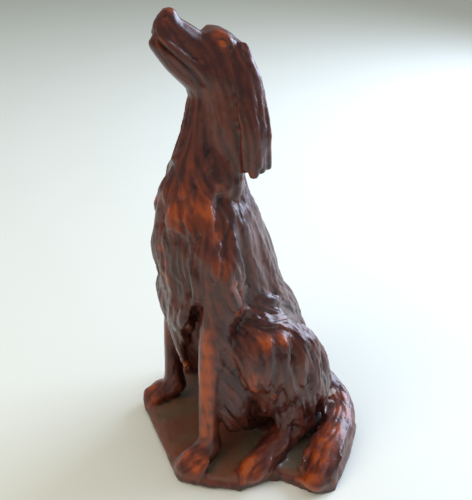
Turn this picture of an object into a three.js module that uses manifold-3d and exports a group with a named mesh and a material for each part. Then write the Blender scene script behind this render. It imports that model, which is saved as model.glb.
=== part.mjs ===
// A seated long-coated dog looking up, modelled in one with the uneven slab that it sits on.
// Millimetres. x runs to the dog's left, y to its back and z up. The origin is on the underside,
// in the dog's plane of symmetry. The form is a field of distances, negative inside, made of a few
// named masses that run into each other, with tapered locks of hair laid over them.
import * as THREE from "three";
import { SimplifyModifier } from "three/addons/modifiers/SimplifyModifier.js";
import { mergeVertices } from "three/addons/utils/BufferGeometryUtils.js";
import Module from "manifold-3d";

// Driving dimensions.
const SLAB_THICKNESS = 8;
const CUT_BELOW = 6;
const COAT_COLOUR = 0x6b2a17;
const TRIANGLES = 10000;

// The trunk and neck: at each height, how far the front and back reach and half the width.
const TRUNK = [
  { z: -12, front: 2, back: 60, half: 38 },
  { z: 14, front: 2, back: 61, half: 39 },
  { z: 33, front: 2, back: 60, half: 38 },
  { z: 55, front: 0, back: 55, half: 36 },
  { z: 75, front: -12, back: 46.5, half: 32 },
  { z: 95, front: -29, back: 37.5, half: 30 },
  { z: 117, front: -40, back: 27.5, half: 29 },
  { z: 147, front: -44.5, back: 17.5, half: 28 },
  { z: 169, front: -41, back: 9, half: 24.5 },
  { z: 184, front: -36, back: 6, half: 19 },
  { z: 200, front: -30.5, back: 5, half: 15 },
  { z: 222, front: -25, back: 6, half: 13 },
  { z: 250, front: -22, back: 7, half: 12.5 },
];
const NECK_TOP = 244;

// The head turns up about the middle of the skull.
const SKULL = new THREE.Vector3(0, -6, 251);
const HEAD_TILT = THREE.MathUtils.degToRad(48);
const MUZZLE_LENGTH = 41;
const MOUTH = -18.4;

// The slab's outline seen from above, clockwise from the dog's front right.
const SLAB_OUTLINE = [
  [-35, -54], [19, -55], [42, -54], [54, -40], [65, -20], [64, 2], [72, 11], [86, 22], [86, 34],
  [66, 56], [44, 74], [10, 76], [-26, 73], [-50, 58], [-62, 28], [-56, -8], [-48, -38],
];

const V = (x, y, z) => new THREE.Vector3(x, y, z);
const mix = THREE.MathUtils.lerp;
const SIDES = [1, -1];

// A repeatable number from 0 to 1 for each whole number.
function chance(n) {
  const s = Math.sin(n * 127.1 + 311.7) * 43758.5453;
  return s - Math.floor(s);
}

// The union of two distances, run together over the width k.
function join(a, b, k) {
  const h = Math.max(k - Math.abs(a - b), 0) / k;
  return Math.min(a, b) - h * h * k * 0.25;
}

const cut = (a, b, k) => -join(-a, b, k);

// A value read smoothly from a table of stations along z.
function readStations(stations) {
  const keys = Object.keys(stations[0]).filter((key) => key !== "z");
  const heights = stations.map((s) => s.z);
  const values = stations.flatMap((s) => keys.map((key) => s[key]));
  const reader = new THREE.CubicInterpolant(heights, values, keys.length, new Float64Array(keys.length));
  return (z) => reader.evaluate(THREE.MathUtils.clamp(z, heights[0], heights.at(-1)));
}

const trunkAt = readStations(TRUNK);

// The distance to the edge of an ellipse or ellipsoid, from offsets and radii.
function toEllipse(dx, dy, dz, rx, ry, rz) {
  const inside = Math.hypot(dx / rx, dy / ry, dz / rz);
  const slope = Math.hypot(dx / rx ** 2, dy / ry ** 2, dz / rz ** 2);
  return slope < 1e-9 ? -Math.min(rx, ry, rz) : ((inside - 1) * inside) / slope;
}

function trunk(p) {
  const [front, back, half] = trunkAt(p.z);
  const across = toEllipse(p.x, p.y - (front + back) / 2, 0, half, (back - front) / 2, 1);
  return Math.max(across, p.z - NECK_TOP);
}

// The way out of the trunk. Angle 0 is the front, 90 degrees the dog's left, 180 the back.
function outward(degrees, z) {
  const [front, back, half] = trunkAt(z);
  const a = THREE.MathUtils.degToRad(degrees);
  return V(Math.sin(a) / half, (-2 * Math.cos(a)) / (back - front), 0).normalize();
}

// A point on the trunk, or lifted off it.
function onTrunk(degrees, z, lift = 0) {
  const [front, back, half] = trunkAt(z);
  const a = THREE.MathUtils.degToRad(degrees);
  const depth = (back - front) / 2;
  const at = V(half * Math.sin(a), (front + back) / 2 - depth * Math.cos(a), z);
  return at.addScaledVector(outward(degrees, z), lift);
}

// A mass is an ellipsoid, turned about its centre.
function mass(centre, radii, turn = new THREE.Euler()) {
  const back = new THREE.Quaternion().setFromEuler(turn).invert();
  const local = V(0, 0, 0);
  const reach = Math.max(...radii);
  return {
    box: new THREE.Box3().setFromCenterAndSize(centre, V(2, 2, 2).multiplyScalar(reach)),
    distance(p) {
      local.subVectors(p, centre).applyQuaternion(back);
      return toEllipse(local.x, local.y, local.z, ...radii);
    },
  };
}

// A limb follows a smooth route with a radius that changes along it. Where it is flat, its
// thickness along the direction given is that share of its width.
function limb(route, radii, flat = 1, thin = V(1, 0, 0), steps = 9) {
  const line = new THREE.CatmullRomCurve3(route).getPoints(steps);
  const widths = line.map((_, i) => {
    const at = (i / steps) * (radii.length - 1);
    const low = Math.min(Math.floor(at), radii.length - 2);
    return mix(radii[low], radii[low + 1], at - low);
  });
  const n = thin.clone().normalize();
  const box = new THREE.Box3().setFromPoints(line).expandByScalar(Math.max(...radii));
  return {
    box,
    distance(p) {
      let nearest = Infinity;
      for (let i = 0; i < steps; i++) {
        const a = line[i];
        const b = line[i + 1];
        const [bx, by, bz] = [b.x - a.x, b.y - a.y, b.z - a.z];
        const [px, py, pz] = [p.x - a.x, p.y - a.y, p.z - a.z];
        const t = THREE.MathUtils.clamp((px * bx + py * by + pz * bz) / (bx * bx + by * by + bz * bz), 0, 1);
        const [dx, dy, dz] = [px - t * bx, py - t * by, pz - t * bz];
        const radius = mix(widths[i], widths[i + 1], t);
        const along = dx * n.x + dy * n.y + dz * n.z;
        const wide = Math.max(dx * dx + dy * dy + dz * dz - along * along, 0);
        const size = Math.sqrt(wide + (along / flat) ** 2);
        const slope = Math.sqrt(wide + (along / flat ** 2) ** 2);
        const d = slope < 1e-9 ? -radius * flat : ((size - radius) * size) / slope;
        nearest = Math.min(nearest, d);
      }
      return nearest;
    },
  };
}

// A place in the head: to the dog's left, forward along the muzzle, and up through the crown.
function inHead(left, forward, up) {
  const [c, s] = [Math.cos(HEAD_TILT), Math.sin(HEAD_TILT)];
  return V(left, -c * forward + s * up, s * forward + c * up).add(SKULL);
}

const headTurn = new THREE.Euler(-HEAD_TILT, 0, 0);
const headMass = (left, forward, up, radii) => mass(inHead(left, forward, up), radii, headTurn);

// Each group of forms runs into what is already there over its own blend width.
const groups = [];
const add = (blend, ...forms) => groups.push(...forms.map((form) => ({ ...form, blend, hollow: false })));
const carve = (blend, ...forms) => groups.push(...forms.map((form) => ({ ...form, blend, hollow: true })));

// The body without its slab, as far as it has been put together.
function body(p) {
  let d = trunk(p);
  for (const form of groups) {
    if (!form.box.containsPoint(p)) continue;
    const near = form.distance(p);
    d = form.hollow ? cut(d, near, form.blend) : join(d, near, form.blend);
  }
  return d;
}

// Where a line that comes straight in meets the masses of the body, lifted off them.
let masses = [];
const DRAPE_FROM = 90;
const HAUNCH_AXIS = { x: 20, y: 16 };

function drape(from, inward, lift) {
  const at = from.clone();
  let gone = 0;
  while (gone < DRAPE_FROM) {
    const gap = massesOnly(at) - lift;
    if (gap < 0.05) break;
    at.addScaledVector(inward, 0.7 * gap);
    gone += 0.7 * gap;
  }
  return at;
}

// On the dog's side: how far back, how high and how far off the surface.
const onSide = (side) => ([y, z, lift]) => drape(V(DRAPE_FROM * side, y, z), V(-side, 0, 0), lift);

// On a haunch: the angle round it from its front, then the same.
function onHaunch(side) {
  return ([degrees, z, lift]) => {
    const a = THREE.MathUtils.degToRad(degrees);
    const inward = V(-Math.sin(a) * side, Math.cos(a), 0);
    const axis = V(HAUNCH_AXIS.x * side, HAUNCH_AXIS.y, z);
    return drape(axis.addScaledVector(inward, -DRAPE_FROM), inward, lift);
  };
}

function massesOnly(p) {
  return masses.reduce((d, form) => join(d, form.distance(p), form.blend), trunk(p));
}

// A lock of hair: flat, widest before its middle, and drawn out to a point.
const LOCK_SHAPE = [0.5, 0.95, 1, 0.7, 0.12];
const LOCK_FLATNESS = 0.6;
const LOCK_BLEND = 1.4;

function lock(route, width, out, blend = LOCK_BLEND) {
  add(blend, limb(route, LOCK_SHAPE.map((share) => share * width), LOCK_FLATNESS, out, 8));
}

function head() {
  const muzzleEnd = MUZZLE_LENGTH - 7;
  add(6, headMass(0, -3, -1, [14.5, 15, 15.5]));
  add(6, limb([inHead(0, 2, -8), inHead(0, 18, -7), inHead(0, muzzleEnd, -9.5)], [12, 9.4, 7.6], 0.9));
  for (const side of SIDES) {
    add(3, headMass(4 * side, 7, 3, [8, 10.5, 9.8]));
    add(4, headMass(8.5 * side, 0, -10, [6, 12, 10]));
    carve(2, headMass(14.2 * side, 10.6, 3.4, [3.2, 4.6, 3.2]));
    add(1, headMass(10.8 * side, 9.6, 3.8, [2.2, 3, 2]));
    add(1.5, limb([inHead(8 * side, 15, 7), inHead(11 * side, 10, 8.2), inHead(12.4 * side, 4.5, 6)], [1.5, 2.2, 1.6]));
    const lip = [inHead(9 * side, 7, -13), inHead(7 * side, 22, -14.6), inHead(4.6 * side, muzzleEnd, -14.4)];
    add(2, limb(lip, [3.6, 4, 3.6]));
  }
  const jaw = [inHead(0, -2, -17), inHead(0, 16, -19.6), inHead(0, muzzleEnd - 3, -19.6)];
  add(2, limb(jaw, [10, 8, 5.4], 0.7, inHead(0, 0, 1).sub(SKULL)));
  add(2, headMass(0, MUZZLE_LENGTH - 3.6, -4.8, [4.8, 4.4, 4.6]));
  for (const side of SIDES) {
    const mouth = [inHead(11.5 * side, 3, MOUTH + 1), inHead(10 * side, 20, MOUTH), inHead(6.6 * side, muzzleEnd + 3, MOUTH)];
    carve(1.2, limb(mouth, [1.3, 1.9, 1.8]));
    carve(1.2, limb([inHead(10.6 * side, 14, -9), inHead(8.8 * side, 30, -11.8)], [1, 1.6, 1], 1, V(1, 0, 0), 3));
  }
}

// Each ear hangs from the back of the skull over the side of the neck and ends in strands; a lock
// from the cheek hangs in front of it.
function ears() {
  for (const side of SIDES) {
    const out = V(side, -0.25, 0);
    const at = (x, y, z) => V(x * side, y, z);
    const ear = [at(12, 0.5, 258), at(17.5, 1.2, 247), at(20.5, 3.4, 233), at(21.5, 4.2, 217), at(22, 4.6, 200)];
    add(2.5, limb(ear, [4.5, 6.2, 6.6, 6.6, 5.6], 0.38, out));
    for (let i = 0; i < 4; i++) {
      const y = -1.4 + i * 3.8;
      const tip = 182.5 + 2.2 * Math.abs(i - 1) + chance(i + 40 + side) * 2.5;
      lock([at(20.5, y * 0.5 + 2, 238 - i * 4), at(25, y + 0.4, 216), at(25, y, 204), at(23, y + 0.6, tip)], 3, out, 0.8);
    }
    const cheek = [at(9.5, -9, 249), at(12.5, -8, 236), at(13.5, -10, 222), at(15, -11.5, 209), at(16, -11, 197)];
    add(4, limb(cheek, [7, 8.6, 6.4, 4.4, 1], 0.6, out));
    lock([at(12, -2, 246), at(17, -3.5, 234), at(18, -7.5, 220), at(17.5, -9.5, 205)], 3, out);
    lock([at(11, -14, 242), at(15, -13, 231), at(16, -13, 218), at(17, -12.5, 206)], 2.6, out);
  }
}

// Ridges of hair down the front of the throat, and the small lock that stands off below them.
function throat() {
  for (let i = 0; i < 5; i++) {
    const angle = -36 + i * 18;
    const route = [onTrunk(angle, 238, -1), onTrunk(angle * 1.1, 222, -0.1), onTrunk(angle * 1.2, 203, 0.2)];
    add(1.4, limb([...route, onTrunk(angle * 1.2 + 4, 192, 0)], [1.6, 2.1, 2.2, 1.2]));
  }
  lock([V(3, -27, 206), V(3, -32, 202), V(2, -36, 199), V(1, -40.5, 195.5)], 3, V(0, -0.5, 1));
}

function forelegs() {
  for (const side of SIDES) {
    const turnedOut = side > 0 ? 1 : 0.9;
    const at = (x, y, z) => V(x * side, y, z);
    add(8, limb([at(17, -18, 158), at(25, -22, 138), at(29, -17, 116)], [14, 13.5, 11]));
    add(5, limb([at(29, -20, 112), at(32.5, -28, 76), at(34, -30, 40), at(35 * turnedOut, -31, 20)], [11, 7.6, 6.2, 6.8]));
    const paw = [at(35 * turnedOut, -30, 17), at(37.5 * turnedOut, -40, 12.5), at(39.5 * turnedOut, -46, 10.5)];
    add(4, limb(paw, [7.5, 8.2, 7], 0.85, V(0, 0, 1)));
    for (let toe = 0; toe < 4; toe++) {
      const x = (31.5 + toe * 5.2) * turnedOut;
      const reach = [-48.5, -51.5, -50, -44][toe];
      add(0.8, limb([at(x * 0.97, -36, 15), at(x, reach + 5, 13), at(x * 1.01, reach, 9.5)], [2.6, 3.3, 2.9]));
    }
    legFeathers(side);
  }
}

// The feathering that fills the space from the back of the foreleg to the haunch.
function legFeathers(side) {
  const at = (x, y, z) => V(x * side, y, z);
  const web = [at(28, -6, 104), at(31, -11, 76), at(33, -11, 50), at(33.5, -10, 31)];
  add(3, limb(web, [13, 15, 15, 11], 0.42, V(1, 0.15 * side, 0)));
  add(3, mass(at(28, 3, 52), [9, 20, 38]));
}

function featherLocks(side) {
  for (let i = 0; i < 6; i++) {
    const z = 104 - i * 11;
    const y = -21 + (i % 2) * 5 + chance(i + 11 * side) * 3;
    const tip = Math.max(z - 30 - chance(i + 5 * side) * 6, 24);
    lockDown(side, [[y, z, -1], [y + 4, mix(z, tip, 0.35), 0.3], [y + 7, mix(z, tip, 0.7), 0.6], [y + 10, tip, 0.8]], 3.8);
  }
}

// A lock that lies on the dog's side.
function lockDown(side, route, width, out = V(side, 0, 0)) {
  lock(route.map(onSide(side)), width, out);
}

// The haunch leans back as it goes down; locks in rows fall over it and hang past its lower edge.
function haunches() {
  for (const side of SIDES) {
    const at = (x, y, z) => V(x * side, y, z);
    add(7, mass(at(33, 19, 62), [17, 26, 46], new THREE.Euler(0.42, 0, -0.1 * side)));
    add(6, mass(at(36, 6, 80), [13, 18, 24], new THREE.Euler(0.2, 0, 0)));
    add(5, limb([at(40, 34, 20), at(46, 16, 18), at(54, 0, 14), at(58, -9, 11.5)], [8, 8.5, 8.5, 8]));
    for (let toe = 0; toe < 4; toe++) {
      const x = 51.5 + toe * 4.5;
      const reach = [-14, -17.5, -17, -12][toe];
      add(0.8, limb([at(x - 3, -2, 17), at(x, reach + 6, 14.5), at(x + 1, reach, 9.5)], [2.6, 3.2, 2.9]));
    }
    for (let i = 0; i < 4; i++) {
      const y = 22 - i * 5;
      lock([at(43 + i, y + 8, 26), at(50 + i, y + 3, 20), at(54 + i, y - 4, 13), at(56 + i, y - 8, 8)], 3, V(side, 0, 0.6));
    }
  }
}

const HAUNCH_ROWS = [
  { from: 40, to: 118, count: 5, top: 101, tip: 62 },
  { from: 52, to: 140, count: 6, top: 86, tip: 47 },
  { from: 64, to: 152, count: 6, top: 68, tip: 32 },
  { from: 80, to: 158, count: 5, top: 50, tip: 19 },
];

function haunchLocks(side) {
  HAUNCH_ROWS.forEach(({ from, to, count, top, tip }, row) => {
    for (let i = 0; i < count; i++) {
      const u = i / (count - 1);
      const luck = (n) => chance(row * 10 + i + 3 * side + n) - 0.5;
      const a = mix(from, to, u) + luck(0) * 8;
      const start = top - 6 * u + luck(200) * 6;
      const end = tip + 4 * u + luck(300) * 8;
      const bend = luck(400) * 12;
      const route = [[a + 8, start, -1.5], [a + 4 + bend, mix(start, end, 0.35), 0.5],
        [a + 5 + bend, mix(start, end, 0.7), 1.5], [a - 3, end, 2.6]];
      const out = onHaunch(side)([a, 60, DRAPE_FROM / 2]).sub(onHaunch(side)([a, 60, 0]));
      lock(route.map(onHaunch(side)), 5.8, out, 0.9);
    }
  });
}

// The tail comes round the dog's left side and parts into strands that end on the slab's edge.
function tail() {
  const route = [V(-4, 54, 30), V(14, 63, 24), V(31, 65, 19), V(47, 58, 16), V(61, 44, 13), V(72, 31, 11), V(81, 21, 8)];
  add(5, limb(route, [9, 9.5, 9.5, 9.5, 9, 8.5, 7], 0.8, V(0, 0, 1), 14));
  for (let i = 0; i < 4; i++) {
    const spread = (i - 1.5) * 5.2;
    const start = V(26 + spread * 0.2, 62 + spread * 0.6, 24);
    const bend = V(54 + spread * 0.5, 49 + spread * 0.7, 22 - Math.abs(spread) * 0.4);
    const low = V(71 + spread * 0.7, 30 + spread, 17 - Math.abs(spread) * 0.3);
    lock([start, bend, low, V(83 + spread * 0.4, 21 + spread, 4)], 3.6, V(0.3, 0.2, 1), 0.8);
  }
}

// A lock laid down the trunk from a height, ending lower and to one side.
function trunkLock(degrees, z, length, width, sweep = 0, lift = 0.8) {
  const route = [
    onTrunk(degrees, z, -2),
    onTrunk(degrees + sweep * 0.25, z - length * 0.3, lift * 0.4),
    onTrunk(degrees + sweep * 0.75, z - length * 0.68, lift),
    onTrunk(degrees + sweep, z - length, lift + 0.9),
  ];
  lock(route, width, outward(degrees + sweep * 0.5, z - length / 2));
}

// A row of such locks round the trunk, no two of them alike.
function trunkRow({ from, to, count, top, drop, width, sweep = 0, lift, seed, fall = 0 }) {
  for (let i = 0; i < count; i++) {
    const u = count > 1 ? i / (count - 1) : 0.5;
    const luck = (n) => chance(seed + i + n) - 0.5;
    const degrees = mix(from, to, u) + luck(0) * 7;
    const z = top - fall * u + luck(30) * 8;
    trunkLock(degrees, z, drop * (1 + 0.35 * luck(50)), width * (1 + 0.3 * luck(70)), sweep + luck(90) * 14, lift);
  }
}

function coat() {
  trunkRow({ from: -118, to: 118, count: 13, top: 204, drop: 26, width: 5, lift: 1.3, seed: 1 });
  trunkRow({ from: -64, to: 64, count: 8, top: 188, drop: 31, width: 6, lift: 1.6, seed: 20 });
  trunkRow({ from: -50, to: 50, count: 8, top: 170, drop: 42, width: 5.2, lift: 1.4, seed: 40 });
  trunkRow({ from: -44, to: 44, count: 7, top: 140, drop: 36, width: 5, lift: 1.4, seed: 60 });
  for (const side of SIDES) {
    shoulderTufts(side);
    featherLocks(side);
    haunchLocks(side);
    const flank = { width: 5, seed: 80 + 7 * side };
    trunkRow({ ...flank, from: 98 * side, to: 170 * side, count: 5, top: 182, drop: 60, sweep: 6 * side, lift: 0.2 });
    trunkRow({ ...flank, from: 92 * side, to: 172 * side, count: 6, top: 146, drop: 48, sweep: -8 * side, lift: 0.4 });
    trunkRow({ ...flank, from: 74 * side, to: 112 * side, count: 5, top: 122, drop: 26, sweep: 16 * side, lift: 3 });
    trunkRow({ ...flank, from: 120 * side, to: 176 * side, count: 4, top: 108, drop: 46, sweep: -8 * side, lift: 0.6 });
  }
  beard();
}

// The tufts that end over the elbow, the largest of them in front.
function shoulderTufts(side) {
  const out = V(side, -0.4, 0);
  lockDown(side, [[-31, 182, -1], [-33, 168, 0.4], [-32, 156, 0.8], [-34, 145, 1]], 5, out);
  lockDown(side, [[-24, 172, -1], [-27, 152, 0.6], [-22, 138, 1.2], [-15, 126, 2]], 6.4, out);
  lockDown(side, [[-13, 168, -1], [-15, 148, 0.6], [-12, 134, 1], [-8, 121, 1.8]], 5.8, out);
  lockDown(side, [[-22, 142, -1], [-19, 130, 0.8], [-14, 120, 1.4], [-9, 108, 2]], 4.8, out);
  lockDown(side, [[-33, 154, -1], [-35, 139, 0.6], [-33, 125, 1], [-34, 112, 1.2]], 4.8, out);
}

// The hair under the chest: separate locks of unequal length, the middle one the longest.
const BEARD = [
  { x: -17, y: -37, tip: 84, width: 5 },
  { x: -9, y: -39, tip: 72, width: 5.4 },
  { x: 1, y: -38, tip: 54, width: 6.2 },
  { x: 10, y: -39, tip: 76, width: 5.2 },
  { x: 18, y: -36, tip: 90, width: 4.8 },
];

function beard() {
  for (const { x, y, tip, width } of BEARD) {
    const bend = mix(112, tip, 0.6);
    lock([V(x * 1.2, y - 1, 122), V(x * 1.1, y - 3, 104), V(x, y + 1, bend), V(x * 0.7, y + 6, tip)], width, V(0, 1, 0));
  }
  add(4, limb([V(0, -31, 124), V(0, -34, 101), V(0, -31, 76)], [22, 15, 4], 0.5, V(0, 1, 0)));
}

// The slab: an outline with its edge rounded, and a top that rises and falls a little.
const corners = SLAB_OUTLINE.map(([x, y]) => new THREE.Vector2(x, y));

function slab(p) {
  let nearest = Infinity;
  let inside = false;
  corners.forEach((a, i) => {
    const b = corners[(i + 1) % corners.length];
    const t = THREE.MathUtils.clamp(
      ((p.x - a.x) * (b.x - a.x) + (p.y - a.y) * (b.y - a.y)) / a.distanceToSquared(b), 0, 1);
    nearest = Math.min(nearest, Math.hypot(p.x - mix(a.x, b.x, t), p.y - mix(a.y, b.y, t)));
    if (a.y > p.y !== b.y > p.y && p.x < mix(a.x, b.x, (p.y - a.y) / (b.y - a.y))) inside = !inside;
  });
  const rim = inside ? -nearest : nearest;
  const top = SLAB_THICKNESS + 0.7 * Math.sin(p.x * 0.11 + 1) * Math.cos(p.y * 0.13) - p.z;
  return -join(-(rim + 0.12 * p.z), top, 4);
}

forelegs();
haunches();
masses = [...groups];
coat();
head();
throat();
ears();
tail();

for (const form of groups) form.box.expandByScalar(form.blend + 2);

function figure(p) {
  return Math.max(join(body(p), slab(p), 3.5), -CUT_BELOW - p.z);
}

// The net that the surface is drawn on: its meshes get smaller towards the head.
const NET = [
  { z: -12, mesh: 3.6, x: 12, y: 12 },
  { z: 20, mesh: 3.3, x: 8, y: 10 },
  { z: 100, mesh: 3.2, x: 0, y: 0 },
  { z: 180, mesh: 2.7, x: 0, y: -12 },
  { z: 215, mesh: 2.2, x: 0, y: -12 },
  { z: 250, mesh: 1.7, x: 0, y: -14 },
  { z: 290, mesh: 1.7, x: 0, y: -20 },
];
const NET_REACH = [26, 24];
const netAt = readStations(NET);

function netLevels() {
  const levels = [NET[0].z];
  while (levels.at(-1) < NET.at(-1).z) levels.push(levels.at(-1) + netAt(levels.at(-1))[0]);
  return levels;
}

// Draws the surface where the field is 0: one point in each mesh that it passes through.
function drawSurface(field) {
  const levels = netLevels();
  const [nx, ny, nz] = [2 * NET_REACH[0] + 1, 2 * NET_REACH[1] + 1, levels.length];
  const index = (i, j, k) => i + nx * (j + ny * k);
  const place = (i, j, k) => {
    const low = Math.min(Math.floor(k), nz - 2);
    const z = mix(levels[low], levels[low + 1], k - low);
    const [mesh, x, y] = netAt(z);
    return V(x + (i - NET_REACH[0]) * mesh, y + (j - NET_REACH[1]) * mesh, z);
  };
  const values = new Float64Array(nx * ny * nz);
  for (let k = 0; k < nz; k++)
    for (let j = 0; j < ny; j++)
      for (let i = 0; i < nx; i++) values[index(i, j, k)] = field(place(i, j, k));

  const corner = [0, 1, 2, 3, 4, 5, 6, 7].map((n) => [n & 1, (n >> 1) & 1, n >> 2]);
  const pointOf = new Int32Array(values.length).fill(-1);
  const points = [];
  for (let k = 0; k < nz - 1; k++)
    for (let j = 0; j < ny - 1; j++)
      for (let i = 0; i < nx - 1; i++) {
        const sum = [0, 0, 0];
        let count = 0;
        for (let a = 0; a < 8; a++)
          for (const bit of [1, 2, 4]) {
            if (a & bit) continue;
            const [ca, cb] = [corner[a], corner[a | bit]];
            const va = values[index(i + ca[0], j + ca[1], k + ca[2])];
            const vb = values[index(i + cb[0], j + cb[1], k + cb[2])];
            if (va < 0 === vb < 0) continue;
            const t = va / (va - vb);
            for (const n of [0, 1, 2]) sum[n] += mix(ca[n], cb[n], t);
            count++;
          }
        if (!count) continue;
        pointOf[index(i, j, k)] = points.length;
        points.push(settle(place(i + sum[0] / count, j + sum[1] / count, k + sum[2] / count), field));
      }

  const faces = [];
  const steps = [1, nx, nx * ny];
  const sizes = [nx, ny, nz];
  for (let k = 1; k < nz - 1; k++)
    for (let j = 1; j < ny - 1; j++)
      for (let i = 1; i < nx - 1; i++)
        for (let axis = 0; axis < 3; axis++) {
          const here = index(i, j, k);
          if ([i, j, k][axis] >= sizes[axis] - 1) continue;
          const [va, vb] = [values[here], values[here + steps[axis]]];
          if (va < 0 === vb < 0) continue;
          const [u, v] = [steps[(axis + 1) % 3], steps[(axis + 2) % 3]];
          const ring = [here - u - v, here - v, here, here - u].map((n) => pointOf[n]);
          if (va >= 0) ring.reverse();
          faces.push(...splitSquare(ring, points));
        }
  const geometry = new THREE.BufferGeometry().setFromPoints(points);
  return geometry.setIndex(faces);
}

// Moves a point onto the surface along the field's slope, by less than a mesh.
function settle(p, field) {
  const h = 0.25;
  const probe = p.clone();
  const slope = V(0, 0, 0);
  for (let pass = 0; pass < 3; pass++) {
    const d = field(p);
    for (const axis of ["x", "y", "z"]) {
      probe.copy(p)[axis] += h;
      slope[axis] = (field(probe) - d) / h;
    }
    const step = THREE.MathUtils.clamp(d / Math.max(slope.lengthSq(), 0.2), -0.7, 0.7);
    p.addScaledVector(slope, -step);
  }
  return p;
}

// Two triangles across the shorter diagonal of a ring of four points.
function splitSquare([a, b, c, d], points) {
  const first = points[a].distanceTo(points[c]) <= points[b].distanceTo(points[d]);
  return first ? [a, b, c, a, c, d] : [a, b, d, b, c, d];
}

const wasm = await Module();
wasm.setup();

function solid(geometry) {
  return new wasm.Manifold(
    new wasm.Mesh({
      numProp: 3,
      vertProperties: new Float32Array(geometry.attributes.position.array),
      triVerts: new Uint32Array(geometry.index.array),
    }),
  );
}

function geometryOf(body) {
  const made = body.getMesh();
  const geometry = new THREE.BufferGeometry();
  geometry.setAttribute("position", new THREE.BufferAttribute(made.vertProperties, 3));
  return geometry.setIndex(new THREE.BufferAttribute(made.triVerts, 1));
}

// Cuts off everything below the underside, and fills any hollow shut in behind the hair.
function cutFlat(body) {
  const below = new THREE.BoxGeometry(400, 400, 100).translate(0, 0, -50);
  for (const name of ["normal", "uv"]) below.deleteAttribute(name);
  const shells = body.subtract(solid(mergeVertices(below))).decompose();
  return shells.reduce((outer, shell) => (shell.volume() > outer.volume() ? shell : outer));
}

// Where two sheets of the surface touch, the points they share are drawn apart, each of them
// towards its own neighbours.
const DRAW_APART = 0.2;

function drawApart(geometry) {
  const places = geometry.attributes.position;
  const corners = geometry.index.array;
  const at = (i) => new THREE.Vector3().fromBufferAttribute(places, i);
  const sharing = new Map();
  for (let i = 0; i < places.count; i++) {
    const key = at(i).toArray().join();
    sharing.set(key, [...(sharing.get(key) ?? []), i]);
  }
  const around = new Map();
  for (const points of sharing.values()) if (points.length > 1) for (const i of points) around.set(i, []);
  corners.forEach((i, n) => {
    const first = n - (n % 3);
    if (around.has(i)) around.get(i).push(at(corners[first + ((n + 1) % 3)]), at(corners[first + ((n + 2) % 3)]));
  });
  for (const [i, neighbours] of around) {
    const middle = neighbours.reduce((sum, p) => sum.add(p), V(0, 0, 0)).divideScalar(neighbours.length);
    places.setXYZ(i, ...at(i).lerp(middle, DRAW_APART).toArray());
  }
  geometry.computeVertexNormals();
  return geometry;
}

// How much the surface is enlarged while it is thinned, so that the head keeps more of its points.
const ENLARGED = [
  { z: -12, by: 1 },
  { z: 170, by: 1 },
  { z: 205, by: 1.9 },
  { z: 290, by: 2.2 },
];
const enlargedAt = readStations(ENLARGED);

// Merges points where the surface is nearly flat, until about this many triangles are left.
async function thinned(geometry, triangles) {
  const places = geometry.attributes.position;
  const enlarged = places.clone();
  for (let i = 0; i < places.count; i++) {
    const [by] = enlargedAt(places.getZ(i));
    enlarged.setXYZ(i, places.getX(i) * by, places.getY(i) * by, places.getZ(i) * by);
  }
  geometry.setAttribute("place", places);
  geometry.setAttribute("position", enlarged);
  const surplus = 1 - triangles / (geometry.index.count / 3);
  const thin = await new SimplifyModifier().modify(geometry, Math.floor(places.count * surplus));
  return thin.setAttribute("position", thin.attributes.place);
}

const dog = new THREE.Mesh(
  drawApart(geometryOf(cutFlat(solid(await thinned(drawSurface(figure), TRIANGLES))))),
  new THREE.MeshStandardMaterial({ color: COAT_COLOUR, roughness: 0.35, metalness: 0 }),
);
dog.name = "dog_figure";

const part = new THREE.Group();
part.add(dog);
export default part;
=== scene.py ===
"""The carved coat, face, stain, wear and painted shade of a seated dog figure, and the stage it is shown on.

The figure stands on the frame's underside, faces -Y and looks up. The scene is in metres. The tables
and the functions that carve the surface work in millimetres, in the same frame.
"""
import math

import bmesh
import bpy
import numpy as np
from bpy.props import FloatProperty, FloatVectorProperty, PointerProperty
from bpy.types import Operator, Panel, PropertyGroup
from mathutils import Matrix, Vector
from mathutils.bvhtree import BVHTree


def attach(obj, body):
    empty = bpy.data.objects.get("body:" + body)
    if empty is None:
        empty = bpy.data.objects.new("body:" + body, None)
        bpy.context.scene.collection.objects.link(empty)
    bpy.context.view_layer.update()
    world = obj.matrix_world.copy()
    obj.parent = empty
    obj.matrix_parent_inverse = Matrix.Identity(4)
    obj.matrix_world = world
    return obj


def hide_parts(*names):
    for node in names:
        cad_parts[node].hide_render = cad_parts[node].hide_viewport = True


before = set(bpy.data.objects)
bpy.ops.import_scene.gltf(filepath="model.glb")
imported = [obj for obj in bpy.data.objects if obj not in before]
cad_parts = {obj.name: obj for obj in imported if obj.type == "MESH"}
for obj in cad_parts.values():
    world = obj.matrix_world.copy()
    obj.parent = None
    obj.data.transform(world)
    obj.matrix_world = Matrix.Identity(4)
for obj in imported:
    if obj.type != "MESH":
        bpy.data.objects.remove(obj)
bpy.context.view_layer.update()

bl_info = {
    "name": "Carved Dog Figure",
    "version": (1, 0, 0),
    "blender": (4, 5, 0),
    "location": "3D Viewport > Sidebar > Dog Figure",
    "description": "Carves the coat of a seated dog figure and gives it its stain and wear",
    "category": "Object",
}

MM = 0.001

# The head: the middle of the skull and how far the muzzle points up.
SKULL = np.array([0.0, -6.0, 251.0])
HEAD_TILT = math.radians(48)
FORWARD = np.array([0.0, -math.cos(HEAD_TILT), math.sin(HEAD_TILT)])
CROWN = np.array([0.0, math.sin(HEAD_TILT), math.cos(HEAD_TILT)])

# How wide a lock is from its root to its tip.
POINTED = [0.35, 0.8, 1.0, 0.95, 0.75, 0.45, 0.12]
BLUNT = [0.5, 0.8, 0.95, 1.0, 1.0, 1.0, 1.0, 1.0, 1.0, 1.0, 0.97, 0.8, 0.4]
RIDGE = [0.2, 0.9, 1.0, 1.0, 1.0, 0.8, 0.15]

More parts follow.
